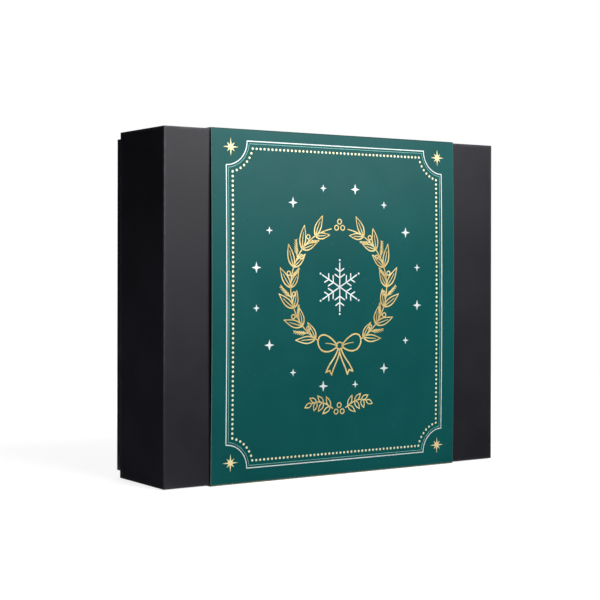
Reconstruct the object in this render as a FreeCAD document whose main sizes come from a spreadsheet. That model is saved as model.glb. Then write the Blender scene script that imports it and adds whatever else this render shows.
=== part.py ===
"""Lift-off gift box standing on its long side, with a printed card band round the lid.

Frame: X along the length, Y from the lid's front to the base's back, Z up, in millimetres.
The origin lies under the middle of the box, on the surface that the box stands on.

Lid and base are the same kind of tray: a grey board blank folded into a panel and four walls,
paper stays round the four corners, a paper wrap turned in round the rim, and a paper lining on
the inner walls and the inner panel. A tray is drawn with its panel on the XY plane and its
walls along Z, and then turned to its place.
"""
import FreeCAD, Part
import math
import os

import Sketcher
from FreeCAD import Placement, Rotation, Vector

SIZES = {
    "box_length": 300,          # lid, outside, along X
    "box_height": 253,          # lid, outside, along Z
    "lid_depth": 67,            # lid, outside, along Y
    "base_showing": 13,         # how far the base stands out behind the lid's rim
    "board_thickness": 2.5,
    "wrap_thickness": 0.2,
    "lining_thickness": 0.15,
    "edge_radius": 0.5,         # outer folds of the wrapped box
    "rim_radius": 0.35,         # outer fold of the wrap at the rim
    "turn_in": 18,              # how far the wrap reaches down the inside of the walls
    "lining_setback": 3,        # rim to the wall lining's edge
    "lining_foot": 12,          # how far the wall lining reaches over the panel
    "panel_lining_margin": 1,   # wall lining to the panel lining's edge
    "stay_leg": 20,             # corner stay on each wall
    "stay_thickness": 0.12,
    "rim_gap": 0.3,             # base rim to the lid's inner panel
    "band_width": 221.5,        # card band, along X
    "band_set_left": 2.3,       # middle of the lid to the middle of the band, as it was pushed on
    "card_thickness": 0.45,
    "band_side_gap": 0.35,      # lid to band, above and below
    "band_front_gap": 0.9,      # lid to band at the front folds
    "band_bow": 1.6,            # how far the front panel rises between its folds
    "band_rim_gap": 0.3,        # lid rim to band
    "fold_radius": 0.5,         # inner radius of the card's folds
    "tuck_length": 22,          # tucked end of the band, from the lid's rim inwards
    "tuck_play": 0.25,          # each side of the tucked end, between lid and base
}

# Sizes that follow from the driving ones
BOARD = "sizes.board_thickness"
WRAP = "sizes.wrap_thickness"
LINING = "sizes.lining_thickness"
CARD = "sizes.card_thickness"
WALL = f"({BOARD} + 2 * {WRAP} + {LINING})"
PANEL = f"({BOARD} + {WRAP} + 2 * {LINING})"
BOARD_RADIUS = f"(sizes.edge_radius - {WRAP})"
TUCK_SPACE = f"({CARD} + 2 * sizes.tuck_play)"
BASE_LENGTH = f"(sizes.box_length - 2 * {WALL} - 2 * {TUCK_SPACE})"
BASE_HEIGHT = f"(sizes.box_height - 2 * {WALL} - 2 * {TUCK_SPACE})"
BASE_DEPTH = f"(sizes.lid_depth + sizes.base_showing - {PANEL} - sizes.rim_gap)"
FRONT_RISE = f"(sizes.band_front_gap + sizes.band_bow + {CARD})"
FRONT_Y = f"(({FRONT_RISE} - sizes.lid_depth - sizes.base_showing) / 2)"
RIM_Y = f"({FRONT_Y} + sizes.lid_depth)"
BACK_Y = f"({RIM_Y} + sizes.base_showing)"
CENTRE_Z = f"(sizes.box_height / 2 + sizes.band_side_gap + {CARD})"

WALLS_BACKWARD = Rotation(Vector(1, 0, 0), -90)
WALLS_FORWARD = Rotation(Vector(1, 0, 0), 90)
ACROSS_LENGTH = Rotation(Vector(1, 1, 1), 120)
CORNERS = {1: (1, 1, 0), 2: (-1, 1, 90), 3: (-1, -1, 180), 4: (1, -1, 270)}

doc = FreeCAD.newDocument("gift_box")
sheet = doc.addObject("Spreadsheet::Sheet", "sizes")
for row, (alias, size) in enumerate(SIZES.items(), start=1):
    sheet.set(f"A{row}", alias)
    sheet.set(f"B{row}", str(size))
    sheet.setAlias(f"B{row}", alias)
doc.recompute()

sub_parts = []


def value(expression):
    """The number that an expression stands for."""
    return float(sheet.evalExpression(expression))


def new_body(label):
    body = doc.addObject("PartDesign::Body", label)
    body.Label = label
    sub_parts.append(body)
    return body


def new_sketch(body, name, level, across="0", up="0", turn=0):
    """A sketch parallel to the body's XY plane, moved by expressions and turned about its normal."""
    sketch = body.newObject("Sketcher::SketchObject", name)
    plane = next(item for item in body.Origin.OriginFeatures if item.Role == "XY_Plane")
    sketch.AttachmentSupport = [(plane, "")]
    sketch.MapMode = "FlatFace"
    sketch.AttachmentOffset = Placement(Vector(), Rotation(Vector(0, 0, 1), turn))
    for axis, expression in (("x", across), ("y", up), ("z", level)):
        sketch.setExpression(f"AttachmentOffset.Base.{axis}", expression)
    return sketch


def bind(sketch, name, expression, kind, *places):
    """A named dimension that follows an expression."""
    index = sketch.addConstraint(Sketcher.Constraint(kind, *places, value(expression)))
    sketch.renameConstraint(index, name)
    sketch.setExpression(f"Constraints.{name}", expression)


def add_line(sketch, start, end):
    return sketch.addGeometry(Part.LineSegment(Vector(*start), Vector(*end)))


def add_arc(sketch, centre, radius, start, end):
    """A counter-clockwise arc between two angles in degrees."""
    circle = Part.Circle(Vector(*centre), Vector(0, 0, 1), radius)
    return sketch.addGeometry(Part.ArcOfCircle(circle, math.radians(start), math.radians(end)))


def set_directions(sketch, horizontal, vertical):
    for line in horizontal:
        sketch.addConstraint(Sketcher.Constraint("Horizontal", line))
    for line in vertical:
        sketch.addConstraint(Sketcher.Constraint("Vertical", line))


def centre_outline(sketch, name, width, height, sides):
    """Places the four sides of an outline round the sketch's origin."""
    bottom, right, top, left = sides
    set_directions(sketch, (bottom, top), (right, left))
    bind(sketch, f"{name}_bottom", f"{height} / 2", "DistanceY", bottom, 1, -1, 1)
    bind(sketch, f"{name}_right", f"{width} / 2", "DistanceX", -1, 1, right, 1)
    bind(sketch, f"{name}_top", f"{height} / 2", "DistanceY", -1, 1, top, 1)
    bind(sketch, f"{name}_left", f"{width} / 2", "DistanceX", left, 1, -1, 1)


def add_rectangle(sketch, name, width, height):
    x, y = value(width) / 2, value(height) / 2
    points = [(-x, -y), (x, -y), (x, y), (-x, y)]
    sides = [add_line(sketch, start, end) for start, end in zip(points, points[1:] + points[:1])]
    for side, following in zip(sides, sides[1:] + sides[:1]):
        sketch.addConstraint(Sketcher.Constraint("Coincident", side, 2, following, 1))
    centre_outline(sketch, name, width, height, sides)


def add_round_rectangle(sketch, name, width, height, radius):
    x, y, r = value(width) / 2, value(height) / 2, value(radius)
    sides = [add_line(sketch, start, end) for start, end in (
        ((r - x, -y), (x - r, -y)), ((x, r - y), (x, y - r)),
        ((x - r, y), (r - x, y)), ((-x, y - r), (-x, r - y)))]
    arcs = [add_arc(sketch, centre, r, angle, angle + 90) for centre, angle in (
        ((x - r, r - y), 270), ((x - r, y - r), 0), ((r - x, y - r), 90), ((r - x, r - y), 180))]
    for side, arc, following in zip(sides, arcs, sides[1:] + sides[:1]):
        sketch.addConstraint(Sketcher.Constraint("Tangent", side, 2, arc, 1))
        sketch.addConstraint(Sketcher.Constraint("Tangent", arc, 2, following, 1))
    for arc in arcs[1:]:
        sketch.addConstraint(Sketcher.Constraint("Equal", arcs[0], arc))
    bind(sketch, f"{name}_radius", radius, "Radius", arcs[0])
    centre_outline(sketch, name, width, height, sides)


def add_stay_profile(sketch):
    """An L of two legs round the board's corner, whose outer corner is the sketch's origin."""
    leg, thick, r = value("sizes.stay_leg"), value("sizes.stay_thickness"), value(BOARD_RADIUS)
    top = add_line(sketch, (-leg, 0), (-r, 0))
    outer = add_arc(sketch, (-r, -r), r, 0, 90)
    side = add_line(sketch, (0, -r), (0, -leg))
    side_end = add_line(sketch, (0, -leg), (-thick, -leg))
    inner_side = add_line(sketch, (-thick, -leg), (-thick, -r))
    inner = add_arc(sketch, (-r, -r), r - thick, 0, 90)
    inner_top = add_line(sketch, (-r, -thick), (-leg, -thick))
    top_end = add_line(sketch, (-leg, -thick), (-leg, 0))
    for one, end, other, start in ((top, 2, outer, 2), (outer, 1, side, 1),
                                   (inner_side, 2, inner, 1), (inner, 2, inner_top, 1)):
        sketch.addConstraint(Sketcher.Constraint("Tangent", one, end, other, start))
    for one, other in ((side, side_end), (side_end, inner_side), (inner_top, top_end), (top_end, top)):
        sketch.addConstraint(Sketcher.Constraint("Coincident", one, 2, other, 1))
    set_directions(sketch, (top, side_end, inner_top), (side, inner_side, top_end))
    sketch.addConstraint(Sketcher.Constraint("PointOnObject", top, 1, -1))
    sketch.addConstraint(Sketcher.Constraint("PointOnObject", side, 2, -2))
    bind(sketch, "leg_across", "sizes.stay_leg", "DistanceX", top, 1, -1, 1)
    bind(sketch, "leg_down", "sizes.stay_leg", "DistanceY", side, 2, -1, 1)
    bind(sketch, "side_thickness", "sizes.stay_thickness", "DistanceX", side_end, 2, side_end, 1)
    bind(sketch, "top_thickness", "sizes.stay_thickness", "DistanceY", top_end, 1, top_end, 2)
    bind(sketch, "outer_radius", BOARD_RADIUS, "Radius", outer)
    bind(sketch, "inner_radius", f"{BOARD_RADIUS} - sizes.stay_thickness", "Radius", inner)


def add_pad(body, sketch, name, length, downward=False):
    pad = body.newObject("PartDesign::Pad", name)
    pad.Profile = sketch
    pad.Reversed = downward
    pad.setExpression("Length", length)
    doc.recompute()
    return pad


def add_pocket(body, sketch, name, length, upward=False):
    """A pocket that has to take something away."""
    before = body.Shape.Volume
    pocket = body.newObject("PartDesign::Pocket", name)
    pocket.Profile = sketch
    pocket.Reversed = upward
    pocket.setExpression("Length", length)
    doc.recompute()
    if body.Shape.Volume >= before:
        raise RuntimeError(f"{body.Label}: {name} cuts nothing")
    return pocket


def add_fillet(body, name, radius, chosen):
    """Rounds the edges of the body's last feature that a test picks."""
    last = body.Tip
    names = [f"Edge{number}" for number, edge in enumerate(last.Shape.Edges, start=1) if chosen(edge)]
    fillet = body.newObject("PartDesign::Fillet", name)
    fillet.Base = (last, names)
    fillet.setExpression("Radius", radius)
    doc.recompute()
    return fillet


def lies_at(level):
    """A test for edges that lie flat at a level."""
    height = value(level)
    return lambda edge: max(abs(edge.BoundBox.ZMin - height), abs(edge.BoundBox.ZMax - height)) < 1e-6


def add_ring(body, name, length, height, thickness, start, end):
    """A four-sided ring with a wall of one thickness, from one level to another."""
    sketch = new_sketch(body, f"{name}_outline", start)
    add_rectangle(sketch, "outer", length, height)
    add_rectangle(sketch, "inner", f"({length} - 2 * {thickness})", f"({height} - 2 * {thickness})")
    add_pad(body, sketch, name, f"{end} - {start}")


def new_stay_sketch(body, corner, length, height, level):
    across, up, turn = CORNERS[corner]
    sketch = new_sketch(body, f"corner_{corner}", level, f"{across} * {length} / 2", f"{up} * {height} / 2", turn)
    add_stay_profile(sketch)
    return sketch


def make_tray(name, length, height, depth, walls, panel_y):
    """The board, stays, wrap and linings of a tray whose panel faces outwards at panel_y."""
    board_length, board_height = f"({length} - 2 * {WRAP})", f"({height} - 2 * {WRAP})"
    inner_length, inner_height = f"({board_length} - 2 * {BOARD})", f"({board_height} - 2 * {BOARD})"
    mouth_length, mouth_height = f"({inner_length} - 2 * {WRAP})", f"({inner_height} - 2 * {WRAP})"
    rim = f"({depth} - {WRAP})"
    floor = f"({WRAP} + {BOARD})"
    turn_in_edge = f"({depth} - sizes.turn_in)"
    bodies = []

    board = new_body(f"{name}_board")
    outline = new_sketch(board, "board_outline", WRAP)
    add_round_rectangle(outline, "board", board_length, board_height, BOARD_RADIUS)
    add_pad(board, outline, "blank", f"{rim} - {WRAP}")
    add_fillet(board, "panel_folds", BOARD_RADIUS, lies_at(WRAP))
    hollow = new_sketch(board, "hollow_outline", rim)
    add_rectangle(hollow, "hollow", inner_length, inner_height)
    add_pocket(board, hollow, "hollow", f"{rim} - {floor}")
    bodies.append(board)
    for corner in CORNERS:
        seat = new_stay_sketch(board, corner, board_length, board_height, rim)
        add_pocket(board, seat, f"stay_seat_{corner}", f"{rim} - sizes.edge_radius")
        stay = new_body(f"{name}_stay_{corner}")
        strip = new_stay_sketch(stay, corner, board_length, board_height, rim)
        add_pad(stay, strip, "strip", f"{rim} - sizes.edge_radius", downward=True)
        bodies.append(stay)

    wrap = new_body(f"{name}_wrap")
    outline = new_sketch(wrap, "wrap_outline", "0")
    add_round_rectangle(outline, "wrap", length, height, "sizes.edge_radius")
    add_pad(wrap, outline, "envelope", depth)
    space = new_sketch(wrap, "board_outline", WRAP)
    add_round_rectangle(space, "board", board_length, board_height, BOARD_RADIUS)
    add_pocket(wrap, space, "board_space", f"{rim} - {WRAP}", upward=True)
    add_fillet(wrap, "inner_folds", BOARD_RADIUS, lies_at(WRAP))
    add_fillet(wrap, "panel_folds", "sizes.edge_radius", lies_at("0"))
    add_fillet(wrap, "rim_folds", "sizes.rim_radius", lies_at(depth))
    mouth = new_sketch(wrap, "mouth_outline", depth)
    add_rectangle(mouth, "mouth", mouth_length, mouth_height)
    add_pocket(wrap, mouth, "mouth", WRAP)
    add_ring(wrap, "turn_in", inner_length, inner_height, WRAP, turn_in_edge, rim)
    bodies.append(wrap)

    wall_lining = new_body(f"{name}_wall_lining")
    add_ring(wall_lining, "foot", inner_length, inner_height, "sizes.lining_foot", floor, f"({floor} + {LINING})")
    add_ring(wall_lining, "lower_strip", inner_length, inner_height, LINING, floor, turn_in_edge)
    add_ring(wall_lining, "step", inner_length, inner_height, f"({WRAP} + {LINING})",
             f"({turn_in_edge} - {LINING})", turn_in_edge)
    add_ring(wall_lining, "upper_strip", mouth_length, mouth_height, LINING,
             f"({turn_in_edge} - {LINING})", f"({depth} - sizes.lining_setback)")
    bodies.append(wall_lining)

    panel_lining = new_body(f"{name}_panel_lining")
    middle = new_sketch(panel_lining, "middle_outline", floor)
    add_rectangle(middle, "middle", f"({inner_length} - 2 * sizes.lining_foot)",
                  f"({inner_height} - 2 * sizes.lining_foot)")
    add_pad(panel_lining, middle, "middle", f"2 * {LINING}")
    sheet_outline = new_sketch(panel_lining, "sheet_outline", f"({floor} + {LINING})")
    margin = f"({LINING} + sizes.panel_lining_margin)"
    add_rectangle(sheet_outline, "sheet", f"({inner_length} - 2 * {margin})", f"({inner_height} - 2 * {margin})")
    add_pad(panel_lining, sheet_outline, "overlap", LINING)
    bodies.append(panel_lining)

    for body in bodies:
        body.Placement = Placement(Vector(), walls)
        body.setExpression("Placement.Base.y", panel_y)
        body.setExpression("Placement.Base.z", CENTRE_Z)


def make_band(name):
    """A strip of card folded round the lid: the line of its inner face, thickened outwards."""
    r = value("sizes.fold_radius")
    panel_z = "(sizes.box_height / 2 + sizes.band_side_gap)"
    tuck_z = f"(sizes.box_height / 2 - {WALL} - sizes.tuck_play)"
    rise = f"({panel_z} - sizes.fold_radius)"
    bow_radius = f"(({rise} ^ 2 + sizes.band_bow ^ 2) / (2 * sizes.band_bow))"
    tuck_run = "(sizes.tuck_length + sizes.band_rim_gap - sizes.fold_radius)"
    panel_run = "(sizes.lid_depth + sizes.band_rim_gap + sizes.band_front_gap - 2 * sizes.fold_radius)"
    front = -value("sizes.band_front_gap")
    back = value("sizes.lid_depth + sizes.band_rim_gap")
    high, low, bow = value(panel_z), value(tuck_z), value(bow_radius)
    tuck = back - r - value(tuck_run)
    lean = math.degrees(math.asin(value(rise) / bow))

    line = doc.addObject("Sketcher::SketchObject", f"{name}_inner_line")
    line.Placement = Placement(Vector(), ACROSS_LENGTH)
    line.setExpression("Placement.Base.y", FRONT_Y)
    line.setExpression("Placement.Base.z", CENTRE_Z)
    path = [
        add_line(line, (tuck, low), (back - r, low)),
        add_arc(line, (back - r, low + r), r, 270, 360),
        add_line(line, (back, low + r), (back, high - r)),
        add_arc(line, (back - r, high - r), r, 0, 90),
        add_line(line, (back - r, high), (front + r, high)),
        add_arc(line, (front + r, high - r), r, 90, 180 - lean),
        add_arc(line, (front + bow - value("sizes.band_bow"), 0), bow, 180 - lean, 180 + lean),
        add_arc(line, (front + r, r - high), r, 180 + lean, 270),
        add_line(line, (front + r, -high), (back - r, -high)),
        add_arc(line, (back - r, r - high), r, 270, 360),
        add_line(line, (back, r - high), (back, -low - r)),
        add_arc(line, (back - r, -low - r), r, 0, 90),
        add_line(line, (back - r, -low), (tuck, -low)),
    ]
    for one, following in zip(path, path[1:]):
        line.addConstraint(Sketcher.Constraint("Tangent", one, 2, following, 1))
    upper_tuck, fold, upper_strip, _, top, front_fold, front_panel = path[:7]
    bottom, _, lower_strip, _, lower_tuck = path[8:]
    set_directions(line, (upper_tuck, top, bottom, lower_tuck), (upper_strip, lower_strip))
    for other in path[3:12:2]:
        line.addConstraint(Sketcher.Constraint("Equal", fold, other))
    line.addConstraint(Sketcher.Constraint("PointOnObject", front_panel, 3, -1))
    bind(line, "fold_radius", "sizes.fold_radius", "Radius", fold)
    bind(line, "bow_radius", bow_radius, "Radius", front_panel)
    bind(line, "front_gap", "sizes.band_front_gap", "DistanceX", front_fold, 2, -1, 1)
    bind(line, "top_height", panel_z, "DistanceY", -1, 1, top, 1)
    bind(line, "bottom_height", panel_z, "DistanceY", bottom, 1, -1, 1)
    bind(line, "upper_tuck_height", tuck_z, "DistanceY", -1, 1, upper_tuck, 1)
    bind(line, "lower_tuck_height", tuck_z, "DistanceY", lower_tuck, 1, -1, 1)
    bind(line, "top_run", panel_run, "DistanceX", top, 2, top, 1)
    bind(line, "bottom_run", panel_run, "DistanceX", bottom, 1, bottom, 2)
    bind(line, "upper_tuck_run", tuck_run, "DistanceX", upper_tuck, 1, upper_tuck, 2)
    bind(line, "lower_tuck_run", tuck_run, "DistanceX", lower_tuck, 2, lower_tuck, 1)

    section = doc.addObject("Part::Offset2D", f"{name}_section")
    section.Source = line
    section.Mode = "Skin"
    section.Fill = True
    section.setExpression("Value", CARD)
    band = doc.addObject("Part::Extrusion", name)
    band.Label = name
    band.Base = section
    band.DirMode = "Normal"
    band.Solid = True
    band.Symmetric = True
    band.setExpression("LengthFwd", "sizes.band_width")
    band.setExpression("Placement.Base.x", "-sizes.band_set_left")
    sub_parts.append(band)


make_tray("base", BASE_LENGTH, BASE_HEIGHT, BASE_DEPTH, WALLS_FORWARD, BACK_Y)
make_tray("lid", "sizes.box_length", "sizes.box_height", "sizes.lid_depth", WALLS_BACKWARD, FRONT_Y)
make_band("card_band")
doc.recompute()

for item in doc.Objects:
    if {"Invalid", "Error"} & set(item.State):
        raise RuntimeError(f"{item.Label}: {item.State}")
for part in sub_parts:
    if part.Shape.isNull() or not part.Shape.isValid() or len(part.Shape.Solids) != 1:
        raise RuntimeError(f"{part.Label} is not one valid solid")
os.makedirs("parts", exist_ok=True)
for part in sub_parts:
    part.Shape.exportStep(f"parts/{part.Label}.step")
    box = part.Shape.BoundBox
    print(f"{part.Label}: {part.Shape.Volume:.1f} mm3, {box.XLength:.2f} x {box.YLength:.2f} x {box.ZLength:.2f}")
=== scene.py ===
"""Looks of the lift-off gift box: papers, the printed and foiled band, studio and camera.

Metres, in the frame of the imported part: X along the box, Y from the lid's front to the
base's back, Z up. The box's own sizes are written in millimetres and turned to metres by MM,
and the studio's places are in metres.
"""

import math
import random

import bmesh
import bpy
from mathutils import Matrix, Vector


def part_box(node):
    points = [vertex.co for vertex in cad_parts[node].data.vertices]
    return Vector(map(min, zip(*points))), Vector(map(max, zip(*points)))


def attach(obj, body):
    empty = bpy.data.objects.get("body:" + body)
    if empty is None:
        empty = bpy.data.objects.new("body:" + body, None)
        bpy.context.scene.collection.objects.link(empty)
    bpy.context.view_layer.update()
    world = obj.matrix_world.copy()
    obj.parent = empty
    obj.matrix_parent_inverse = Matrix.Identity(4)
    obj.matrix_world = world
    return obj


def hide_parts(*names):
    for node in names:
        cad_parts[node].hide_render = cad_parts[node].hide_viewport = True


MM = 0.001

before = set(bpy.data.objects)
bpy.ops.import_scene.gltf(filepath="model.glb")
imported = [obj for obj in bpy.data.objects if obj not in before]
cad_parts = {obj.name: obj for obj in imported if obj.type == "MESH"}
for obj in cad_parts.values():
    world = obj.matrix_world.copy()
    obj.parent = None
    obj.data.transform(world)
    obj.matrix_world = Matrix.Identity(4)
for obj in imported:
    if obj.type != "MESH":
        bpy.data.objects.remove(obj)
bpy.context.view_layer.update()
lid_low, lid_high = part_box("lid_wrap")
base_low, base_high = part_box("base_wrap")
band_low, band_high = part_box("card_band")

# The card band, in the sizes of its solid
CARD = 0.45 * MM
FRONT_GAP = 0.9 * MM          # lid to card at the front folds
RIM_GAP = 0.3 * MM            # lid's rim to card
PANEL_BOW = 1.6 * MM          # rise of the front panel between its folds
FOLD_RADIUS = 0.5 * MM        # inner face
TUCK_LENGTH = 22 * MM         # from the lid's rim inwards
TUCK_PLAY = 0.25 * MM         # lid's lining to the tucked ends
TRAY_WALL = 3.05 * MM         # board, wrap on both sides of it, and lining
FOLD_STEP = math.radians(9)
PANEL_STEP = math.radians(0.06)
EDGE_ROUND = 0.12 * MM        # softening of the die-cut edge, where the print is gone
PRINT, CORE, REVERSE = range(3)   # the band's materials, in the order of its slots

# Foil ornament on the front panel, all from the middle of the print
FOIL_RISE = 0.05 * MM
FOIL_SINK = 0.03 * MM         # how far its underside lies in the card
FRAME_RAISED = 1.2 * MM       # the whole print sits a little high on the panel
FRAME_SET_LEFT = 0.2 * MM     # and a trace to the left
FRAME_HALF_WIDTH = 98.4 * MM
FRAME_HALF_HEIGHT = 117.5 * MM
FRAME_CORNER = 17.6 * MM      # radius of its concave corners
FRAME_LINE = 0.75 * MM
FINE_LINE = 0.26 * MM
FINE_INSET = 1.85 * MM
DOT_INSET = 5.25 * MM
DOT_RADIUS = 0.92 * MM
DOTS_ACROSS = 45              # spaces between dots along each side and corner
DOTS_UP = 56
DOTS_CORNER = 7
STAR_ACROSS = 94.5 * MM
STAR_UP = 112.8 * MM
STAR_LONG = 6.5 * MM          # from the middle to every other tip
STAR_SHORT = 4.5 * MM
STAR_WAIST = 1.75 * MM        # and to the notches between tips

RUN_STEP = 4 * MM             # longest straight piece of a foil line
WREATH_UP = 12 * MM           # middle of the wreath above the middle of the print
WREATH_RADIUS = 44 * MM
WREATH_STATIONS = 7           # leaf pairs on each side
WREATH_START = 30             # degrees from the bottom of the ring to the first pair
WREATH_STEP = 20              # and from pair to pair
WREATH_SEED = 7
STEM_START = 27               # degrees from the bottom of the ring to each stem's ends
STEM_END = 170
OUTER_LEAF = (39, 17 * MM, 2.9 * MM)    # degrees off the stem, length, half width
INNER_LEAF = (35, 13.5 * MM, 2.5 * MM)
LEAF_CURL = 0.1
TWIG_LEAN = 42                # degrees off the stem
OUTER_TWIG = 13 * MM
INNER_TWIG = 9.5 * MM
TWIG_CURL = 0.12
STEM_BERRY = 1.55 * MM        # radius of the berries along the stem
CLUSTER_BERRY = 1.8 * MM      # and of those in threes
PEN = 1.15 * MM               # gold pen line
PEN_FINE = 0.85 * MM
FLAKE_RADIUS = 18 * MM
FLAKE_PEN = 1.0 * MM
SPARKLE_RING = 75 * MM
SPARKLES = 16
SPARKLE_LARGE = 4.1 * MM      # from the middle to a tip
SPARKLE_SMALL = 2.9 * MM
SPARKLE_WAIST = 0.32          # share of that reach
SPRIG_DOWN = 80 * MM          # lower sprig below the middle of the print

# Studio, in metres
AMBIENT = 0.12                # world's light on the object
FLOOR_SIZE = 6.0
FLOOR_BOUNCE = 0.12           # shade of the floor in the light it gives back
FLOOR_GLOW = 0.82             # light of its own that the eye sees
FLOOR_SHADE = 0.28            # shade of what the lamps add to that, and a shadow takes away
FLOOR_FADE = (0.45, 1.1)      # distances between which it turns plain white
CAMERA_PLACE = (-0.62265, -0.91598, 0.15742)
CAMERA_AZIMUTH = 33.7478      # degrees from +Y towards +X
CAMERA_ROLL = -0.0853
CAMERA_LENS = 85.85           # lens and sensor in millimetres
CAMERA_SENSOR = 36
CAMERA_SHIFT_Y = -0.05929


def panel_curve():
    """Inner radius, half angle and centre (y, z) of the bowed front panel."""
    rise = (band_high.z - band_low.z) / 2 - CARD - FOLD_RADIUS
    radius = (rise ** 2 + PANEL_BOW ** 2) / (2 * PANEL_BOW)
    front = lid_low.y - FRONT_GAP
    return radius, math.asin(rise / radius), front - PANEL_BOW + radius, (band_high.z + band_low.z) / 2


PANEL_RADIUS, PANEL_LEAN, PANEL_Y, PANEL_Z = panel_curve()
PANEL_X = (band_low.x + band_high.x) / 2


def on_panel(across, up, rise=0.0):
    """A point of the band's printed front, from the print's middle, raised along its normal."""
    outer = PANEL_RADIUS + CARD
    angle = math.asin((up + FRAME_RAISED) / outer)
    return Vector((PANEL_X - FRAME_SET_LEFT + across, PANEL_Y - (outer + rise) * math.cos(angle),
                   PANEL_Z + (outer + rise) * math.sin(angle)))


def new_piece(name, points, faces, materials, body, sharp=35, face_materials=None):
    """A mesh piece that rides on a body, smooth but for its sharp edges."""
    mesh = bpy.data.meshes.new(name)
    mesh.from_pydata([tuple(point) for point in points], [], faces)
    for material in materials:
        mesh.materials.append(material)
    if face_materials:
        mesh.polygons.foreach_set("material_index", face_materials)
    mesh.polygons.foreach_set("use_smooth", [True] * len(faces))
    mesh.update()
    mesh.set_sharp_from_angle(angle=math.radians(sharp))
    piece = bpy.data.objects.new(name, mesh)
    bpy.context.scene.collection.objects.link(piece)
    if body:
        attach(piece, body)
    return piece


class Nodes:
    """The node tree of a new material, with short calls for the nodes that recur."""

    def __init__(self, name):
        self.material = bpy.data.materials.new(name)
        self.material.use_nodes = True
        self.tree = self.material.node_tree
        self.shader = self.tree.nodes["Principled BSDF"]
        self.place = self.add("ShaderNodeTexCoord").outputs["Object"]

    def add(self, kind, **settings):
        node = self.tree.nodes.new(kind)
        for key, setting in settings.items():
            setattr(node, key, setting)
        return node

    def feed(self, socket, source):
        """Links a node's output, or sets a number or colour."""
        if isinstance(source, bpy.types.NodeSocket):
            self.tree.links.new(source, socket)
        else:
            socket.default_value = source

    def math(self, operation, *sources):
        node = self.add("ShaderNodeMath", operation=operation)
        for socket, source in zip(node.inputs, sources):
            self.feed(socket, source)
        return node.outputs[0]

    def ramp(self, source, low, high, bottom=0.0, top=1.0):
        """A smooth step from bottom at low to top at high."""
        node = self.add("ShaderNodeMapRange", interpolation_type="SMOOTHSTEP")
        for name, number in (("Value", source), ("From Min", low), ("From Max", high),
                             ("To Min", bottom), ("To Max", top)):
            self.feed(node.inputs[name], number)
        return node.outputs["Result"]

    def noise(self, size, detail, stretch=(1, 1, 1)):
        """Noise whose grains are about one size, in metres, and longer along a stretched axis."""
        mapping = self.add("ShaderNodeMapping")
        self.feed(mapping.inputs["Vector"], self.place)
        mapping.inputs["Scale"].default_value = [1 / (size * factor) for factor in stretch]
        node = self.add("ShaderNodeTexNoise")
        self.feed(node.inputs["Vector"], mapping.outputs[0])
        node.inputs["Scale"].default_value = 1.0
        node.inputs["Detail"].default_value = detail
        node.inputs["Roughness"].default_value = 0.55
        return node.outputs["Fac"]

    def mix(self, factor, one, other):
        """A blend of two colours, by the factor, A and B sockets that a colour mix uses."""
        node = self.add("ShaderNodeMix", data_type="RGBA")
        self.feed(node.inputs[0], factor)
        self.feed(node.inputs[6], one)
        self.feed(node.inputs[7], other)
        return node.outputs[2]

    def axes(self):
        node = self.add("ShaderNodeSeparateXYZ")
        self.feed(node.inputs[0], self.place)
        return node.outputs

    def bump(self, height, depth, strength, under=None):
        node = self.add("ShaderNodeBump")
        node.inputs["Strength"].default_value = strength
        node.inputs["Distance"].default_value = depth
        self.feed(node.inputs["Height"], height)
        if under is not None:
            self.feed(node.inputs["Normal"], under)
        return node.outputs[0]

    def finish(self, color, roughness, normal=None, **constants):
        self.feed(self.shader.inputs["Base Color"], color)
        self.feed(self.shader.inputs["Roughness"], roughness)
        if normal is not None:
            self.feed(self.shader.inputs["Normal"], normal)
        for name, number in constants.items():
            self.shader.inputs[name.replace("_", " ")].default_value = number
        return self.material


def grey(level):
    """A shade of the black papers, which lean to blue."""
    return (level, level, level * 1.3, 1)


def edge_distance(nodes, low, high):
    """Distance of a point of a box's skin from the nearest edge of the box."""
    inward = []
    for axis, output in enumerate(nodes.axes()):
        middle, half = (low[axis] + high[axis]) / 2, (high[axis] - low[axis]) / 2
        offset = nodes.math("ABSOLUTE", nodes.math("SUBTRACT", output, middle))
        inward.append(nodes.math("SUBTRACT", half, offset))
    x, y, z = inward
    lower = nodes.math("MINIMUM", x, y)
    higher = nodes.math("MAXIMUM", x, y)
    return nodes.math("MAXIMUM", lower, nodes.math("MINIMUM", higher, z))


def black_wrap_paper(name, low, high):
    """Black matt-laminated wrap paper, paler along the edges: partly wear from rubbing, partly a painted
    highlight that grows towards the top.
    """
    nodes = Nodes(name)
    cloud = nodes.noise(38 * MM, 4)
    fibre = nodes.noise(0.45 * MM, 4, (3.2, 1, 1))
    grain = nodes.noise(0.22 * MM, 2)
    color = nodes.mix(nodes.ramp(cloud, 0.3, 0.7), grey(0.0125), grey(0.016))
    color = nodes.mix(nodes.ramp(fibre, 0.5, 0.8, 0, 0.5), color, grey(0.025))
    edge = nodes.ramp(edge_distance(nodes, low, high), 0.3 * MM, 2.6 * MM, 1, 0)
    # painted highlight: the paler edges grow stronger towards the top of the box
    painted_highlight_to_top = nodes.ramp(nodes.axes()[2], 0.02, 0.22, 0.2, 1)
    paler_edge_mask = nodes.math("MULTIPLY", edge, nodes.ramp(nodes.noise(5 * MM, 5), 0.35, 0.75, 0.3, 0.9))
    # the paler edge colour is partly wear from rubbing, partly painted highlight
    color = nodes.mix(nodes.math("MULTIPLY", paler_edge_mask, painted_highlight_to_top), color, grey(0.055))
    roughness = nodes.ramp(nodes.noise(11 * MM, 5), 0.25, 0.75, 0.29, 0.33)
    normal = nodes.bump(fibre, 0.016 * MM, 0.7, nodes.bump(grain, 0.008 * MM, 0.6))
    return nodes.finish(color, roughness, normal, Specular_IOR_Level=0.5)


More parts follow.
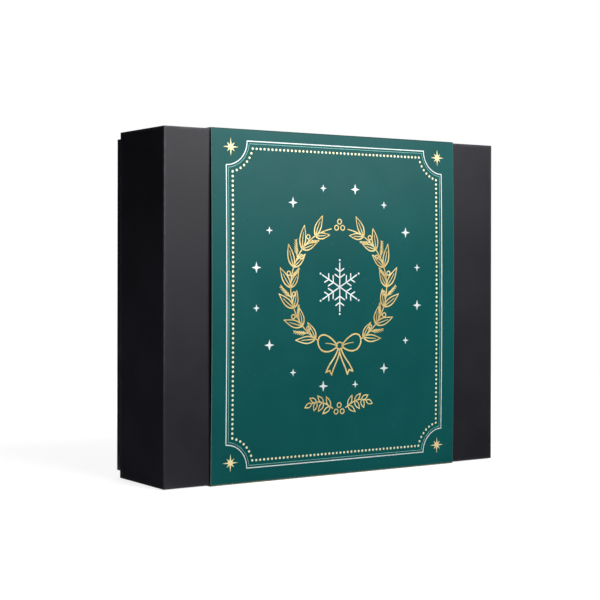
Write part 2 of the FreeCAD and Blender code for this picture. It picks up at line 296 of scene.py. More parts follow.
def black_lining_paper():
    """Uncoated black paper: dry, with short pale fibres."""
    nodes = Nodes("black_lining_paper")
    fibre = nodes.noise(0.5 * MM, 5, (1, 1, 5))
    cross = nodes.noise(0.5 * MM, 5, (5, 1, 1))
    felt = nodes.math("MAXIMUM", fibre, cross)
    cloud = nodes.noise(24 * MM, 3)
    color = nodes.mix(nodes.ramp(cloud, 0.3, 0.7), grey(0.021), grey(0.027))
    color = nodes.mix(nodes.ramp(felt, 0.62, 0.8, 0, 0.8), color, grey(0.06))
    normal = nodes.bump(felt, 0.03 * MM, 0.8)
    return nodes.finish(color, nodes.ramp(felt, 0.3, 0.8, 0.72, 0.9), normal, Specular_IOR_Level=0.15)


def grey_board():
    """Grey recycled board with dark and pale specks."""
    nodes = Nodes("grey_board")
    fibre = nodes.noise(0.9 * MM, 6, (3, 1, 1))
    specks = nodes.noise(0.6 * MM, 2)
    color = nodes.mix(nodes.ramp(fibre, 0.3, 0.7), (0.26, 0.25, 0.225, 1), (0.36, 0.345, 0.315, 1))
    color = nodes.mix(nodes.ramp(specks, 0.66, 0.72), color, (0.1, 0.1, 0.11, 1))
    normal = nodes.bump(fibre, 0.05 * MM, 0.8)
    return nodes.finish(color, 0.85, normal, Specular_IOR_Level=0.25)


def stay_paper():
    """Thin tan gummed paper."""
    nodes = Nodes("stay_paper")
    fibre = nodes.noise(0.7 * MM, 5, (1, 4, 1))
    color = nodes.mix(nodes.ramp(fibre, 0.3, 0.75), (0.42, 0.31, 0.2, 1), (0.56, 0.44, 0.3, 1))
    return nodes.finish(color, 0.7, nodes.bump(fibre, 0.03 * MM, 0.7), Specular_IOR_Level=0.3)


def printed_green():
    """Deep green print under a satin film, with painted shade darkening the folds, a painted highlight
    along the side edges, and cracked along the lower ones.
    """
    deep, light = (0.0042, 0.078, 0.076, 1), (0.005, 0.088, 0.086, 1)
    speckled = (0.0075, 0.099, 0.097, 1)
    # colour of the painted shade in the folds
    painted_fold_shade = (0.002, 0.032, 0.03, 1)
    cracked = (0.38, 0.3, 0.16, 1)
    # colour of the painted highlight along the band's side edges
    edge_highlight_colour = (0.2, 0.3, 0.28, 1)
    nodes = Nodes("printed_green")
    x, y, z = nodes.axes()
    cloud = nodes.noise(60 * MM, 3)
    grain = nodes.noise(0.3 * MM, 3)
    color = nodes.mix(nodes.ramp(cloud, 0.3, 0.7), deep, light)
    color = nodes.mix(nodes.ramp(grain, 0.45, 0.8, 0, 0.3), color, speckled)
    from_middle = nodes.math("ABSOLUTE", nodes.math("SUBTRACT", z, PANEL_Z))
    near_z = nodes.math("SUBTRACT", band_high.z - CARD - PANEL_Z, from_middle)
    near_front = nodes.math("ABSOLUTE", nodes.math("SUBTRACT", y, lid_low.y - FRONT_GAP))
    near_back = nodes.math("ABSOLUTE", nodes.math("SUBTRACT", y, band_high.y - CARD))
    near_y = nodes.math("MINIMUM", near_front, near_back)
    near_fold = nodes.math("ADD", nodes.math("ABSOLUTE", near_z), near_y)
    # zone along the folds, used for painted shade and for the cracks
    fold_shade_and_crack_zone = nodes.ramp(near_fold, 0.5 * MM, 1.3 * MM, 1, 0)
    cracks = nodes.ramp(nodes.noise(1.4 * MM, 6), 0.35, 0.7, 0.35, 0.95)
    lower = nodes.ramp(nodes.math("SUBTRACT", z, PANEL_Z), -0.1, 0.1, 1, 0.02)
    # painted shade: the print darkens at every fold
    color = nodes.mix(nodes.math("MULTIPLY", fold_shade_and_crack_zone, 0.6), color, painted_fold_shade)
    worn = nodes.math("MULTIPLY", nodes.math("MULTIPLY", fold_shade_and_crack_zone, cracks), lower)
    color = nodes.mix(worn, color, cracked)
    from_left, from_right = nodes.math("SUBTRACT", x, band_low.x), nodes.math("SUBTRACT", band_high.x, x)
    side = nodes.math("MINIMUM", from_left, from_right)
    # painted highlight: paler print within half a millimetre of the side edges, broken up by the crack
    # noise
    paler_edge_mask = nodes.math("MULTIPLY", nodes.ramp(side, 0, 0.5 * MM, 1, 0), nodes.ramp(cracks, 0.2, 0.7))
    color = nodes.mix(nodes.math("MULTIPLY", paler_edge_mask, 0.5), color, edge_highlight_colour)
    roughness = nodes.ramp(nodes.noise(16 * MM, 5), 0.25, 0.75, 0.22, 0.28)
    normal = nodes.bump(grain, 0.006 * MM, 0.5, nodes.bump(nodes.noise(2.5 * MM, 2), 0.01 * MM, 0.4))
    return nodes.finish(color, roughness, normal, Specular_IOR_Level=0.25)


def shaded_card_core():
    """The band's cut edge, with fine layers, in a dark green-grey that is painted shade rather than the
    board's own colour.
    """
    nodes = Nodes("shaded_card_core")
    fibre = nodes.noise(0.25 * MM, 4, (1, 6, 1))
    # painted shade: the cut edge is coloured dark, as if always in shadow
    color = nodes.mix(nodes.ramp(fibre, 0.3, 0.7), (0.16, 0.2, 0.19, 1), (0.27, 0.31, 0.3, 1))
    return nodes.finish(color, 0.8, nodes.bump(fibre, 0.02 * MM, 0.8), Specular_IOR_Level=0.2)


def card_reverse():
    """The band's unprinted inner face."""
    nodes = Nodes("card_reverse")
    fibre = nodes.noise(0.8 * MM, 5, (4, 1, 1))
    color = nodes.mix(nodes.ramp(fibre, 0.3, 0.7), (0.66, 0.65, 0.61, 1), (0.78, 0.77, 0.73, 1))
    return nodes.finish(color, 0.75, nodes.bump(fibre, 0.02 * MM, 0.7), Specular_IOR_Level=0.25)


def foil(name, pale, deep):
    """Hot-stamped foil with the card's faint texture and slightly uneven shine."""
    nodes = Nodes(name)
    patches = nodes.noise(12 * MM, 5)
    grain = nodes.noise(0.35 * MM, 3)
    color = nodes.mix(nodes.ramp(patches, 0.3, 0.7), pale, deep)
    roughness = nodes.ramp(nodes.noise(2.5 * MM, 3), 0.3, 0.75, 0.68, 0.77)
    normal = nodes.bump(grain, 0.006 * MM, 0.4)
    return nodes.finish(color, roughness, normal, Metallic=1.0)


def fold_path(steps, start, heading):
    """Points and headings along a line of runs and left turns, in Y and Z.

    A step is (run length,) or (turn radius, turn angle, angle of one facet)."""
    y, z = start
    points = [(y, z, heading)]
    for step in steps:
        if len(step) == 1:
            y, z = y + step[0] * math.cos(heading), z + step[0] * math.sin(heading)
            points.append((y, z, heading))
            continue
        radius, turn, facet = step
        centre_y, centre_z = y - radius * math.sin(heading), z + radius * math.cos(heading)
        count = max(1, math.ceil(turn / facet))
        for number in range(1, count + 1):
            angle = heading + turn * number / count
            y, z = centre_y + radius * math.sin(angle), centre_z - radius * math.cos(angle)
            points.append((y, z, angle))
        heading += turn
    return points


def make_band(materials):
    """The card strip folded round the lid, printed outside, with softened die-cut edges.

    Its line follows the strip's inner face, and the card lies to the right of it."""
    back = lid_high.y + RIM_GAP
    front = lid_low.y - FRONT_GAP
    high = (band_high.z - band_low.z) / 2 - CARD
    low = (lid_high.z - lid_low.z) / 2 - TRAY_WALL - TUCK_PLAY
    tuck = TUCK_LENGTH + RIM_GAP - FOLD_RADIUS
    square = (FOLD_RADIUS, math.pi / 2, FOLD_STEP)
    front_fold = (FOLD_RADIUS, math.pi / 2 - PANEL_LEAN, FOLD_STEP)
    panel = (PANEL_RADIUS, 2 * PANEL_LEAN, PANEL_STEP)
    along_rim = (high - low - 2 * FOLD_RADIUS,)
    over_lid = (back - front - 2 * FOLD_RADIUS,)
    steps = [(tuck,), square, along_rim, square, over_lid, front_fold, panel,
             front_fold, over_lid, square, along_rim, square, (tuck,)]
    line = fold_path(steps, (back - FOLD_RADIUS - tuck, PANEL_Z + low), 0.0)

    columns = [(band_low.x, EDGE_ROUND), (band_low.x + EDGE_ROUND, 0), (band_high.x - EDGE_ROUND, 0),
               (band_high.x, EDGE_ROUND)]
    points, rows = [], []
    for y, z, heading in line:
        out_y, out_z = math.sin(heading), -math.cos(heading)
        ring = []
        for level, sign in ((CARD, -1), (0.0, 1)):
            for x, inset in columns if level else reversed(columns):
                depth = level + sign * inset
                ring.append(len(points))
                points.append((x, y + depth * out_y, z + depth * out_z))
        rows.append(ring)
    kinds = [CORE, PRINT, CORE, CORE, REVERSE, REVERSE, REVERSE, CORE]
    faces, face_kinds = [], []
    for ring, following in zip(rows, rows[1:]):
        for place, kind in enumerate(kinds):
            ahead = (place + 1) % len(ring)
            faces.append((ring[place], ring[ahead], following[ahead], following[place]))
            face_kinds.append(kind)
    faces += [tuple(reversed(rows[0])), tuple(rows[-1])]
    face_kinds += [CORE, CORE]
    piece = new_piece("printed_band", points, faces, materials, "band",
                      sharp=30, face_materials=face_kinds)
    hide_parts("card_band")


class Foil:
    """Collects raised foil shapes of one colour on the front panel, as one piece.

    A share is a part of the foil's rise, and None is its underside in the card."""

    profile = ((-1, None), (-0.94, 0.6), (-0.5, 1), (0.5, 1), (0.94, 0.6), (1, None))
    dome = ((1, None), (0.96, 0.5), (0.6, 0.95))
    dome_sides = 14

    def __init__(self):
        self.points = []
        self.faces = []

    def point(self, across, up, share):
        rise = -FOIL_SINK if share is None else share * FOIL_RISE
        self.points.append(on_panel(across, up, rise))
        return len(self.points) - 1

    def stroke(self, path, width, closed=False, taper=(1.0, 1.0)):
        """A line of foil. Its width may run from one share to another along an open path."""
        path = short_runs(path, closed)
        count = len(path)
        rings = []
        for number, (across, up) in enumerate(path):
            before = path[number - 1] if number or closed else path[0]
            after = path[(number + 1) % count] if number < count - 1 or closed else path[-1]
            one = unit(across - before[0], up - before[1]) or unit(after[0] - across, after[1] - up)
            two = unit(after[0] - across, after[1] - up) or one
            along = unit(one[0] + two[0], one[1] + two[1])
            mitre = 1 / max(0.5, along[0] * one[0] + along[1] * one[1])
            share = taper[0] + (taper[1] - taper[0]) * number / (count - 1)
            rings.append((across, up, along, width / 2 * share, mitre))
        if not closed:
            rings = self.round_end(rings[0], -1)[::-1] + rings + self.round_end(rings[-1], 1)
        made = []
        for across, up, (dx, dy), half, mitre in rings:
            made.append([self.point(across - dy * side * half * mitre,
                                    up + dx * side * half * mitre, share)
                         for side, share in self.profile])
        sides = len(self.profile)
        pairs = list(zip(made, made[1:])) + ([(made[-1], made[0])] if closed else [])
        for ring, following in pairs:
            for place in range(sides):
                ahead = (place + 1) % sides
                self.faces.append((ring[place], following[place], following[ahead], ring[ahead]))
        if not closed:
            self.faces += [tuple(made[0]), tuple(reversed(made[-1]))]

    @staticmethod
    def round_end(ring, direction):
        """The narrowing rings beyond a line's last ring."""
        across, up, (dx, dy), half, _ = ring
        steps = [math.radians(angle) for angle in (30, 55, 75)]
        return [(across + direction * dx * half * math.sin(step),
                 up + direction * dy * half * math.sin(step),
                 (dx, dy), half * math.cos(step), 1.0) for step in steps]

    def dot(self, across, up, radius):
        """A domed spot."""
        rings = []
        for scale, share in self.dome:
            rings.append([self.point(across + radius * scale * math.cos(turn),
                                     up + radius * scale * math.sin(turn), share)
                          for turn in circle_angles(self.dome_sides)])
        self.close_rings(rings, across, up)

    def star(self, across, up, radii, waist):
        """A star with faceted points, one upwards. Its points take the radii in turn."""
        tips = len(radii)
        outline = []
        for number, radius in enumerate(radii):
            for reach, angle in ((radius, number), (waist, number + 0.5)):
                bearing = math.radians(90 + angle * 360 / tips)
                outline.append((reach * math.cos(bearing), reach * math.sin(bearing)))
        rings = [[self.point(across + x, up + y, share) for x, y in outline] for share in (None, 0.35)]
        self.close_rings(rings, across, up)

    def close_rings(self, rings, across, up):
        """Joins rings of one size to each other, to the middle on top and to a face below."""
        sides = len(rings[0])
        middle = self.point(across, up, 1)
        for ring, following in zip(rings, rings[1:]):
            for place in range(sides):
                ahead = (place + 1) % sides
                self.faces.append((ring[place], ring[ahead], following[ahead], following[place]))
        for place in range(sides):
            self.faces.append((rings[-1][place], rings[-1][(place + 1) % sides], middle))
        self.faces.append(tuple(reversed(rings[0])))

    def finish(self, name, material):
        return new_piece(name, self.points, self.faces, [material], "band", sharp=50)


def short_runs(path, closed):
    """The same path with points added on long runs, so that it follows the bowed panel."""
    fine = []
    for number, (x, y) in enumerate(path):
        fine.append((x, y))
        if number == len(path) - 1 and not closed:
            break
        end_x, end_y = path[(number + 1) % len(path)]
        parts = math.ceil(math.hypot(end_x - x, end_y - y) / RUN_STEP)
        fine += [(x + (end_x - x) * part / parts, y + (end_y - y) * part / parts)
                 for part in range(1, parts)]
    return fine


def unit(x, y):
    """The direction of a vector, or None where it has no length."""
    length = math.hypot(x, y)
    return (x / length, y / length) if length > 1e-9 else None


def circle_angles(sides):
    return [2 * math.pi * number / sides for number in range(sides)]


def arc_path(centre, radius, start, end, count):
    """Points on an arc between two angles in degrees."""
    angles = [math.radians(start + (end - start) * number / count) for number in range(count + 1)]
    return [(centre[0] + radius * math.cos(angle), centre[1] + radius * math.sin(angle))
            for angle in angles]


def frame_corners(inset):
    """The four concave corners of the frame, each an arc about the frame's square corner.

    They follow each other clockwise from the upper right, and each ends where the next side starts."""
    radius = FRAME_CORNER + inset
    lean = math.degrees(math.asin(inset / radius))
    corners = []
    for across, up, start in ((1, 1, 180), (1, -1, 90), (-1, -1, 0), (-1, 1, 270)):
        centre = (across * FRAME_HALF_WIDTH, up * FRAME_HALF_HEIGHT)
        corners.append((centre, radius, start + lean, start + 90 - lean))
    return corners


def frame_path(inset):
    """The frame's closed outline. Its sides are the straight runs between the corner arcs."""
    path = []
    for centre, radius, start, end in frame_corners(inset):
        path += arc_path(centre, radius, start, end, 16)
    return path


def frame_dots(gold):
    """Dots along the frame: evenly along each corner arc and each side between the arcs."""
    arcs = [arc_path(centre, radius, start, end, DOTS_CORNER)
            for centre, radius, start, end in frame_corners(DOT_INSET)]
    side_counts = (DOTS_UP, DOTS_ACROSS, DOTS_UP, DOTS_ACROSS)
    for arc, following, count in zip(arcs, arcs[1:] + arcs[:1], side_counts):
        for across, up in arc:
            gold.dot(across, up, DOT_RADIUS)
        (x0, y0), (x1, y1) = arc[-1], following[0]
        for number in range(1, count):
            share = number / count
            gold.dot(x0 + (x1 - x0) * share, y0 + (y1 - y0) * share, DOT_RADIUS)


def placed(path, origin, turn):
    """A path drawn along +X, turned by an angle in radians and moved to an origin."""
    cosine, sine = math.cos(turn), math.sin(turn)
    return [(origin[0] + x * cosine - y * sine, origin[1] + x * sine + y * cosine) for x, y in path]


def moved(path, origin):
    return [(origin[0] + x, origin[1] + y) for x, y in path]


def leaf(gold, origin, turn, length, width, curl):
    """A pen-drawn leaf: two bowed sides and a midrib that curls a little."""
    def side(sign):
        path = []
        for number in range(15):
            t = number / 14
            half = width * math.sin(math.pi * t ** 0.85) * (1 - 0.25 * t)
            path.append((length * t, sign * half + curl * length * t * t))
        return path
    gold.stroke(placed(side(1), origin, turn), PEN, taper=(1.0, 0.55))
    gold.stroke(placed(side(-1), origin, turn), PEN, taper=(1.0, 0.55))
    rib = [(length * t, curl * length * t * t) for t in (0.1, 0.25, 0.4, 0.55, 0.7)]
    gold.stroke(placed(rib, origin, turn), PEN_FINE, taper=(1.0, 0.5))


def twig(gold, origin, turn, length, curl):
    """A fir twig: a bowed stem with needles swept forward."""
    def stem(t):
        return length * t, curl * length * t * t
    line = [stem(number / 8) for number in range(9)]
    gold.stroke(placed(line, origin, turn), PEN_FINE, taper=(1.1, 0.6))
    for number in range(1, 7):
        t = number / 7
        root = stem(t)
        reach = length * 0.3 * (1.0 - 0.5 * t)
        for sign in (1, -1):
            tip = (root[0] + reach * 0.9, root[1] + sign * reach * 0.44)
            bend = (root[0] + reach * 0.48, root[1] + sign * reach * 0.17)
            gold.stroke(placed([root, bend, tip], origin, turn), PEN_FINE, taper=(0.9, 0.5))


def berry(gold, origin, turn, side, radius):
    """A ringed berry beside a stem that runs along the turn, on a short stalk."""
    stalk = [(0, 0), (1.1 * MM, side * 0.7 * MM)]
    middle = (2.3 * MM, side * (radius + 1.2 * MM))
    gold.stroke(placed(stalk, origin, turn), PEN_FINE)
    ring(gold, placed([middle], origin, turn)[0], radius)


def ring(gold, centre, radius):
    gold.stroke(arc_path(centre, radius, 0, 342, 18), PEN_FINE, closed=True)


def berry_cluster(gold, origin, places):
    """Ringed berries, at places in millimetres from an origin."""
    for across, up in places:
        ring(gold, (origin[0] + across * MM, origin[1] + up * MM), CLUSTER_BERRY)


def wreath(gold, draw):
    """Leaves, fir twigs and berries round a ring, running up both sides from the bow."""
    centre = (0.0, WREATH_UP)
    for sign in (1, -1):
        stem = arc_path(centre, WREATH_RADIUS, -90 + sign * STEM_START, -90 + sign * STEM_END, 60)
        gold.stroke(stem, PEN_FINE)
        for number in range(2 * WREATH_STATIONS - 1):
            bearing = math.radians(-90 + sign * (WREATH_START + WREATH_STEP * number / 2))
            root = (WREATH_RADIUS * math.cos(bearing), centre[1] + WREATH_RADIUS * math.sin(bearing))
            along = bearing + sign * math.pi / 2 + math.radians(draw.uniform(-3, 3))
            grow = draw.uniform(0.95, 1.05)
            if number % 2 == 0:
                for side, (lean, length, width) in ((-sign, OUTER_LEAF), (sign, INNER_LEAF)):
                    turn = along + side * math.radians(lean)
                    leaf(gold, root, turn, length * grow, width, -side * LEAF_CURL)
                continue
            outwards = number % 4 == 1
            side = -sign if outwards else sign
            length = (OUTER_TWIG if outwards else INNER_TWIG) * grow
            twig(gold, root, along + side * math.radians(TWIG_LEAN), length, -side * TWIG_CURL)
            berry(gold, root, along, -side, STEM_BERRY)
    berry_cluster(gold, (0.0, centre[1] + WREATH_RADIUS), ((-2.8, 0.4), (2.8, 0.4), (0, 5.0)))


def bow(gold, origin):
    """A tied ribbon bow: two loops, two tails and a knot."""
    for sign in (1, -1):
        loop, inner = [], []
        for number in range(29):
            t = 2 * math.pi * number / 28
            reach = (1 - math.cos(t)) / 2
            loop.append((sign * (2.2 + 17.5 * reach) * MM,
                         (1.5 * math.sin(t) + 6.2 * math.sin(t) * reach ** 0.5 + 3.5 * reach) * MM))
        gold.stroke(moved(loop, origin), PEN)
        for number in range(9):
            t = number / 8
            inner.append((sign * (3.2 + 9.5 * t) * MM, (0.4 + 3.4 * t - 1.6 * t * t) * MM))
        gold.stroke(moved(inner, origin), PEN_FINE, taper=(1.0, 0.5))
        outer_tail = [(1.2, -2.0), (3.4, -6.5), (6.2, -10.4), (9.6, -14.6), (12.4, -19.5)]
        inner_tail = [(-0.4, -2.4), (0.8, -7.2), (3.0, -12.2), (5.4, -16.8), (7.2, -21.6)]
        notch = [outer_tail[-1], (8.9, -18.2), inner_tail[-1]]
        for path in (smooth(outer_tail), smooth(inner_tail), notch):
            gold.stroke(moved([(sign * x * MM, y * MM) for x, y in path], origin), PEN)
    knot = [(3.0 * MM * math.cos(turn), 2.7 * MM * math.sin(turn)) for turn in circle_angles(20)]
    gold.stroke(moved(knot, origin), PEN, closed=True)


def smooth(path, steps=6):
    """A Catmull-Rom curve through the points of a path."""
    ends = [path[0]] + list(path) + [path[-1]]
    curve = []
    for four_points in zip(ends, ends[1:], ends[2:], ends[3:]):
        for number in range(steps):
            t = number / steps
            weights = (-0.5 * t + t * t - 0.5 * t ** 3, 1 - 2.5 * t * t + 1.5 * t ** 3,
                       0.5 * t + 2 * t * t - 1.5 * t ** 3, -0.5 * t * t + 0.5 * t ** 3)
            curve.append(tuple(sum(weight * point[axis] for weight, point in zip(weights, four_points))
                               for axis in (0, 1)))
    return curve + [path[-1]]


def snowflake(silver, centre, radius, width):
    """Six arms with two pairs of branches each, and a dot beyond each arm."""
    for number in range(6):
        turn = math.radians(90 + 60 * number)
        arms = [[(0, 0), (radius, 0)]]
        for root, reach in ((0.38, 0.24), (0.64, 0.2)):
            for sign in (1, -1):
                start = root * radius
                arms.append([(start, 0), (start + reach * radius * 0.62, sign * reach * radius)])
        for arm in arms:
            silver.stroke(placed(arm, centre, turn), width)
        dot_across, dot_up = placed([(radius * 1.12, 0)], centre, turn)[0]
        silver.dot(dot_across, dot_up, width * 0.8)


def lower_sprig(gold, origin):
    """Two mirrored sprigs with three berries between them."""
    for sign in (1, -1):
        stem = []
        for number in range(10):
            t = number / 9
            stem.append((sign * (6 + 19 * t) * MM, (1.5 + 5.4 * math.sin(2.2 * t)) * MM))
        gold.stroke(moved(stem, origin), PEN_FINE)
        heading = 0 if sign > 0 else math.pi
        for number in (1, 4, 7):
            x, y = stem[number]
            for side in (1, -1):
                turn = heading + sign * (side * math.radians(50) + math.radians(20 - 6 * number))
                small_leaf(gold, (origin[0] + x, origin[1] + y), turn, (8.6 - 0.3 * number) * MM)
        x, y = stem[-1]
        small_leaf(gold, (origin[0] + x, origin[1] + y), heading - sign * math.radians(24), 6.4 * MM)
    berry_cluster(gold, origin, ((-2.8, -1.2), (2.8, -1.2), (0.0, 3.6)))


def small_leaf(gold, origin, turn, length):
    """An open leaf without a midrib."""
    outline = []
    for number in range(21):
        t = number / 10 if number <= 10 else (20 - number) / 10
        side = 1 if number <= 10 else -1
        outline.append((length * t, side * 1.55 * MM * math.sin(math.pi * t ** 0.85)))
    gold.stroke(placed(outline, origin, turn), PEN_FINE)


def make_foils():
    """The frame, the stars in its corners, and the motifs inside it, one piece for each."""
    gold_foil = foil("gold_foil", (0.9, 0.78, 0.42, 1), (0.68, 0.52, 0.22, 1))
    star_foil = foil("star_gold_foil", (0.93, 0.84, 0.54, 1), (0.88, 0.77, 0.45, 1))
    pale_foil = foil("pale_gold_foil", (0.92, 0.92, 0.7, 1), (0.84, 0.82, 0.58, 1))
    silver_foil = foil("silver_foil", (0.82, 0.88, 0.87, 1), (0.73, 0.79, 0.79, 1))
    teal_foil = foil("pale_teal_foil", (0.38, 0.74, 0.68, 1), (0.33, 0.64, 0.6, 1))

    for name, inset, width, material in (("foil_frame_line", 0.0, FRAME_LINE, silver_foil),
                                         ("foil_fine_line", FINE_INSET, FINE_LINE, teal_foil)):
        border = Foil()
        border.stroke(frame_path(inset), width, closed=True)
        border.finish(name, material)

    dots = Foil()
    frame_dots(dots)
    dots.finish("foil_frame_dots", pale_foil)

    stars = Foil()
    for across in (1, -1):
        for up in (1, -1):
            stars.star(across * STAR_ACROSS, up * STAR_UP, [STAR_LONG, STAR_SHORT] * 4, STAR_WAIST)
    stars.finish("foil_corner_stars", star_foil)

    motif = Foil()
    wreath(motif, random.Random(WREATH_SEED))
    bow(motif, (0.0, WREATH_UP - WREATH_RADIUS))
    motif.finish("foil_wreath", gold_foil)

    sprig = Foil()
    lower_sprig(sprig, (0.0, -SPRIG_DOWN))
    sprig.finish("foil_sprig", gold_foil)

    flake = Foil()
    snowflake(flake, (0.0, WREATH_UP), FLAKE_RADIUS, FLAKE_PEN)
    flake.finish("foil_snowflake", silver_foil)

    sparkles = Foil()
    for number in range(SPARKLES):
        turn = 2 * math.pi * (number + 0.5) / SPARKLES
        across, up = SPARKLE_RING * math.cos(turn), WREATH_UP + SPARKLE_RING * math.sin(turn)
        size = SPARKLE_LARGE if number % 2 else SPARKLE_SMALL
        sparkles.star(across, up, [size] * 4, size * SPARKLE_WAIST)
    sparkles.finish("foil_sparkles", silver_foil)


def make_overlaps(name, body, low, high, material, edge_material):
    """Doubled paper on a tray's short walls: the flap lies over the ears folded round each corner."""
    thickness = 0.11 * MM
    sink = 0.02 * MM
    corner_gap = 0.7 * MM
    panel_gap = 0.9 * MM
    rim_gap = 0.45 * MM
    ear = 13 * MM             # reach of an ear from the corner
    ramp = 2.2 * MM           # where it thins out
    end_ramp = 0.5 * MM
    face, edge = 0, 1
    panel_at_low = body == "lid"
    panel_y, rim_y = (low.y, high.y) if panel_at_low else (high.y, low.y)
    inward = 1 if panel_at_low else -1
    start, end = panel_y + inward * panel_gap, rim_y - inward * rim_gap
    lengthwise = [(start, 0.0), (start + inward * end_ramp, 1.0),
                  (end - inward * end_ramp, 1.0), (end, 0.0)]
    points, faces, kinds = [], [], []
    for side, x in ((-1, low.x), (1, high.x)):
        for up, z in ((1, high.z), (-1, low.z)):
            crosswise = [(z - up * corner_gap, None), (z - up * corner_gap, 1.0),
                         (z - up * (ear - ramp), 1.0), (z - up * ear, 0.0)]
            rows = []
            for y, end_share in lengthwise:
                row = []
                for level, share in crosswise:
                    rise = -sink if share is None else share * end_share * (thickness + sink) - sink
                    row.append(len(points))
                    points.append((x + side * rise, y, level))
                rows.append(row)
            for row, following in zip(rows, rows[1:]):
                for place in range(len(row) - 1):
                    faces.append((row[place], row[place + 1], following[place + 1], following[place]))
                    kinds.append(face if place else edge)
                faces.append((row[-1], row[0], following[0], following[-1]))
                kinds.append(face)
            faces += [tuple(rows[0]), tuple(reversed(rows[-1]))]
            kinds += [face, face]
    piece = new_piece(name, points, faces, [material, edge_material], body,
                      sharp=20, face_materials=kinds)
    tidy_normals(piece)


def tidy_normals(piece):
    """Turns every face outwards."""
    shape = bmesh.new()
    shape.from_mesh(piece.data)
    bmesh.ops.recalc_face_normals(shape, faces=shape.faces)
    shape.to_mesh(piece.data)
    shape.free()


def paper_edge():
    """The cut edge of black wrap paper."""
    nodes = Nodes("paper_edge")
    fibre = nodes.noise(0.3 * MM, 3)
    return nodes.finish(nodes.mix(fibre, grey(0.05), grey(0.09)), 0.8, Specular_IOR_Level=0.1)


def dress_trays():
    """Materials of the CAD nodes that stay, and the doubled wrap paper."""
    shared = {"board": grey_board(), "stay": stay_paper(), "lining": black_lining_paper()}
    edge = paper_edge()
    for tray, low, high in (("lid", lid_low, lid_high), ("base", base_low, base_high)):
        wrap = black_wrap_paper(f"{tray}_wrap_paper", low, high)
        for name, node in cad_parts.items():
            if not name.startswith(tray):
                continue
            kind = next((key for key in shared if key in name), None)
            node.data.materials.clear()
            node.data.materials.append(shared[kind] if kind else wrap)
        make_overlaps(f"{tray}_wrap_overlaps", tray, low, high, wrap, edge)


def white_seen(tree):
    """One where a camera, mirror or glass ray arrives, else nought."""
    path = tree.nodes.new("ShaderNodeLightPath")
    total = path.outputs["Is Camera Ray"]
    for name in ("Is Glossy Ray", "Is Transmission Ray"):
        node = tree.nodes.new("ShaderNodeMath")
        node.operation = "MAXIMUM"
        tree.links.new(total, node.inputs[0])
        tree.links.new(path.outputs[name], node.inputs[1])
        total = node.outputs[0]
    return total


def make_world(ambient):
    """White to the camera, mirrors and glass, and a soft even light on the object."""
    world = bpy.data.worlds.new("studio")
    bpy.context.scene.world = world
    world.use_nodes = True
    tree = world.node_tree
    tree.nodes.clear()
    output = tree.nodes.new("ShaderNodeOutputWorld")
    mixed = tree.nodes.new("ShaderNodeMixShader")
    for socket, strength in ((mixed.inputs[1], ambient), (mixed.inputs[2], 1.0)):
        background = tree.nodes.new("ShaderNodeBackground")
        background.inputs["Color"].default_value = (1, 1, 1, 1)
        background.inputs["Strength"].default_value = strength
        tree.links.new(background.outputs[0], socket)
    tree.links.new(white_seen(tree), mixed.inputs[0])
    tree.links.new(mixed.outputs[0], output.inputs[0])


def make_floor(size):
    """A pale floor: white to the eye, with the object's soft shadow, and a plain grey bounce."""
    nodes = Nodes("pale_floor")
    tree = nodes.tree
    nodes.shader.inputs["Base Color"].default_value = (FLOOR_BOUNCE, FLOOR_BOUNCE, FLOOR_BOUNCE, 1)
    nodes.shader.inputs["Roughness"].default_value = 1.0
    nodes.shader.inputs["Specular IOR Level"].default_value = 0.0
    distance = nodes.add("ShaderNodeVectorMath", operation="LENGTH")
    nodes.feed(distance.inputs[0], nodes.place)
    far = nodes.ramp(distance.outputs["Value"], *FLOOR_FADE)
    shaded = nodes.add("ShaderNodeBsdfDiffuse")
    shaded.inputs["Color"].default_value = (FLOOR_SHADE, FLOOR_SHADE, FLOOR_SHADE, 1)
    glow = nodes.add("ShaderNodeEmission")
    glow.inputs["Strength"].default_value = FLOOR_GLOW
    near = nodes.add("ShaderNodeAddShader")
    tree.links.new(shaded.outputs[0], near.inputs[0])
    tree.links.new(glow.outputs[0], near.inputs[1])
    white = nodes.add("ShaderNodeEmission")
    seen = nodes.add("ShaderNodeMixShader")
    nodes.feed(seen.inputs[0], far)
    tree.links.new(near.outputs[0], seen.inputs[1])
    tree.links.new(white.outputs[0], seen.inputs[2])
    both = nodes.add("ShaderNodeMixShader")
    nodes.feed(both.inputs[0], white_seen(tree))
    tree.links.new(nodes.shader.outputs[0], both.inputs[1])
    tree.links.new(seen.outputs[0], both.inputs[2])
    tree.links.new(both.outputs[0], tree.nodes["Material Output"].inputs["Surface"])
    corners = [(-size, -size, 0), (size, -size, 0), (size, size, 0), (-size, size, 0)]
    new_piece("floor", corners, [(0, 1, 2, 3)], [nodes.material], None)


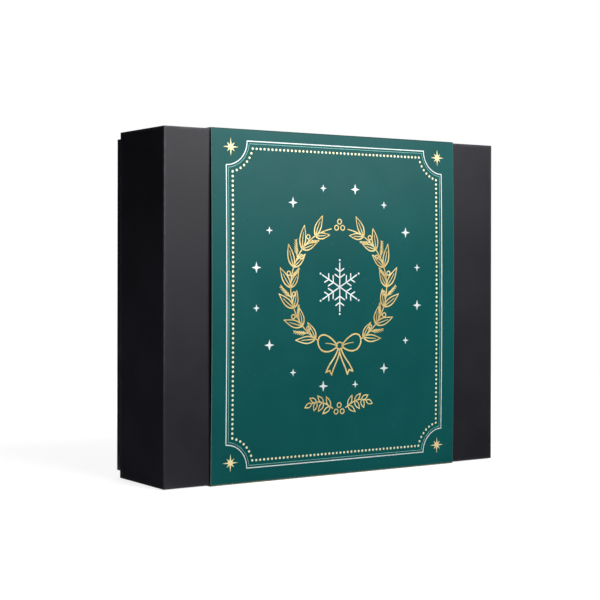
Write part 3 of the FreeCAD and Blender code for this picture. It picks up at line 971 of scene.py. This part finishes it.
def make_flags():
    """Black cards round the set, seen only in reflections: they keep the box's black dark.

    The one on the floor in front fades out to the left, so that its end draws no line."""
    black = Nodes("black_flag").finish((0, 0, 0, 1), 1.0, Specular_IOR_Level=0.0)
    fading = Nodes("fading_flag")
    cover = fading.ramp(fading.axes()[0], -0.34, -0.05)
    fading.feed(fading.shader.inputs["Alpha"], cover)
    fading.finish((0, 0, 0, 1), 1.0, Specular_IOR_Level=0.0)
    left, front, right, back, top = -0.75, -1.6, 1.3, 2.0, 1.8
    back_right = 1.9
    box_left, box_front = -0.1505, -0.042
    lift = 0.3 * MM
    cards = {
        "flag_left": ((left, -0.3, 0), (left, back, top)),
        "flag_left_floor": ((left, -0.3, lift), (box_left, back, lift)),
        "flag_back": ((left, back, 0), (back_right, back, top)),
        "flag_top": ((left, -0.4, top), (back_right, back, top)),
        "flag_front": ((0.75, front, 0), (right, front, 0.26)),
        "flag_front_floor": ((-0.36, front, lift), (right, box_front, lift)),
        "flag_right": ((right, front, 0), (right, -0.3, 1.4)),
    }
    for name, (low, high) in cards.items():
        if low[0] == high[0]:
            corners = [low, (low[0], high[1], low[2]), high, (low[0], low[1], high[2])]
        else:
            corners = [low, (high[0], low[1], low[2]), high, (low[0], high[1], high[2])]
        material = fading.material if name == "flag_front_floor" else black
        flag = new_piece(name, corners, [(0, 1, 2, 3)], [material], None)
        for ray in ("camera", "diffuse", "transmission", "volume_scatter", "shadow"):
            setattr(flag, f"visible_{ray}", False)


def add_lamp(name, place, target, size, power, in_gloss):
    """An area lamp that faces a target. Reflections leave it out unless it is in_gloss."""
    data = bpy.data.lights.new(name, "AREA")
    data.shape = "RECTANGLE"
    data.size, data.size_y = size
    data.energy = power
    lamp = bpy.data.objects.new(name, data)
    lamp.location = place
    lamp.rotation_euler = (Vector(target) - Vector(place)).to_track_quat("-Z", "Y").to_euler()
    lamp.visible_glossy = in_gloss
    bpy.context.scene.collection.objects.link(lamp)


def make_studio():
    """Background, floor, cards, lamps and the camera at the photograph's view."""
    bpy.context.scene.view_settings.view_transform = "Standard"
    make_world(AMBIENT)
    make_floor(FLOOR_SIZE)
    make_flags()
    middle = (0, 0, PANEL_Z)
    foot_of_left_end = (-0.15, -0.02, 0.02)
    add_lamp("main_lamp", (0.08, -0.72, 0.86), middle, (0.5, 0.5), 15.0, True)
    add_lamp("sheen_lamp", (0.86, -1.34, 0.55), middle, (0.6, 0.5), 1.5, True)
    add_lamp("fill_lamp", (-0.42, -0.02, 0.035), foot_of_left_end, (0.3, 0.07), 0.36, False)
    add_lamp("rear_lamp", (0.45, 1.15, 0.75), middle, (0.8, 0.8), 12.0, False)

    data = bpy.data.cameras.new("camera")
    data.sensor_width = CAMERA_SENSOR
    data.lens = CAMERA_LENS
    data.shift_y = CAMERA_SHIFT_Y
    camera = bpy.data.objects.new("camera", data)
    camera.location = CAMERA_PLACE
    camera.rotation_euler = (math.pi / 2, math.radians(CAMERA_ROLL), -math.radians(CAMERA_AZIMUTH))
    bpy.context.scene.collection.objects.link(camera)
    bpy.context.scene.camera = camera


make_studio()
dress_trays()
make_band([printed_green(), shaded_card_core(), card_reverse()])
make_foils()
